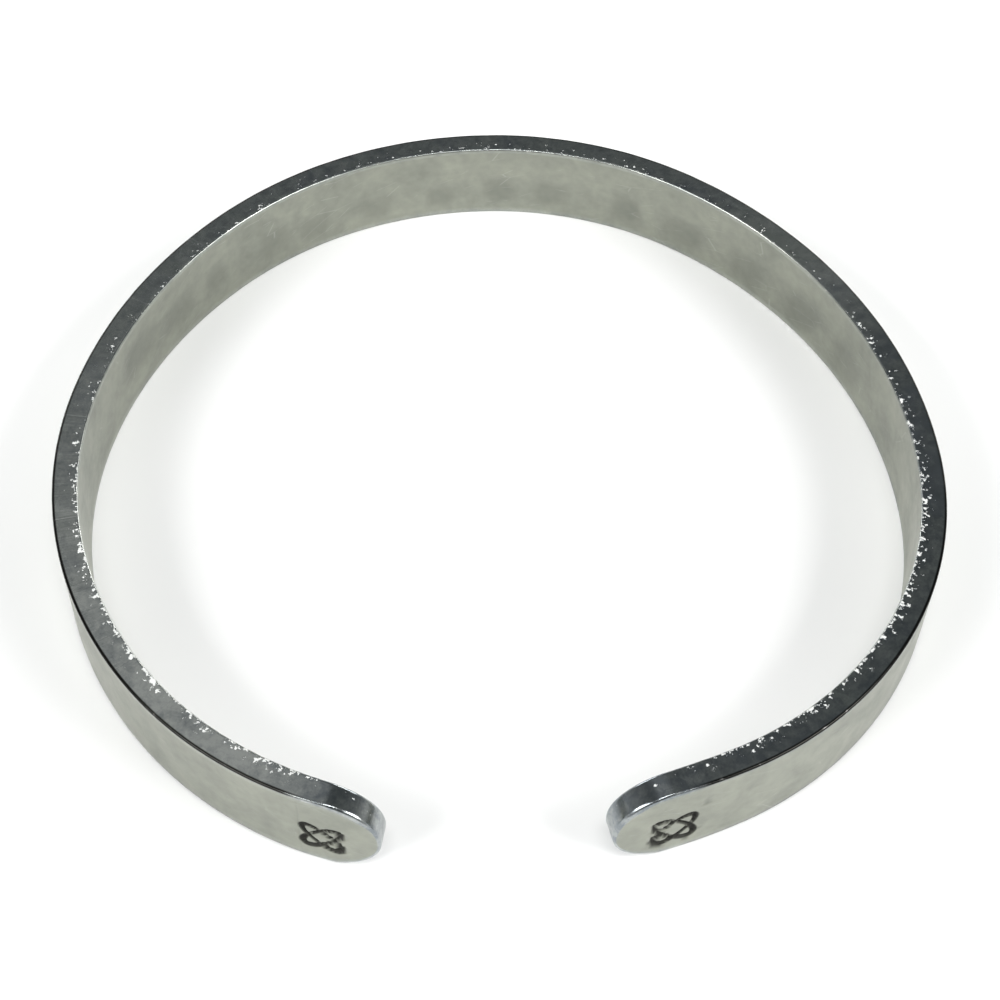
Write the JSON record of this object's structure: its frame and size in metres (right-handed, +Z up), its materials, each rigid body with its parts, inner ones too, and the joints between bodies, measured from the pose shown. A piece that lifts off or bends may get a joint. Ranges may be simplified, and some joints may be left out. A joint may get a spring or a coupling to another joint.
{
  "type": "cuff bracelet",
  "caption": "Open cuff bracelet: one flat metal strip with rounded ends bent into a nearly round ring, with a small engraved knot near each end.",
  "frame": {"origin": "centre of the ring's outline, on the surface that its lower edge lies on", "axes": "+X across the ring, towards the right end as seen from the opening; +Y away from the opening, towards the closed back; +Z up, across the width of the strip"},
  "size_m": [0.064, 0.0628, 0.0078],
  "materials": {
    "silver": "satin silver: soft matt faces, rubbed brighter edges, dark in the engraved grooves"
  },
  "bodies": {
    "root": {"cuff_band": "silver"}
  },
  "joints": []
}
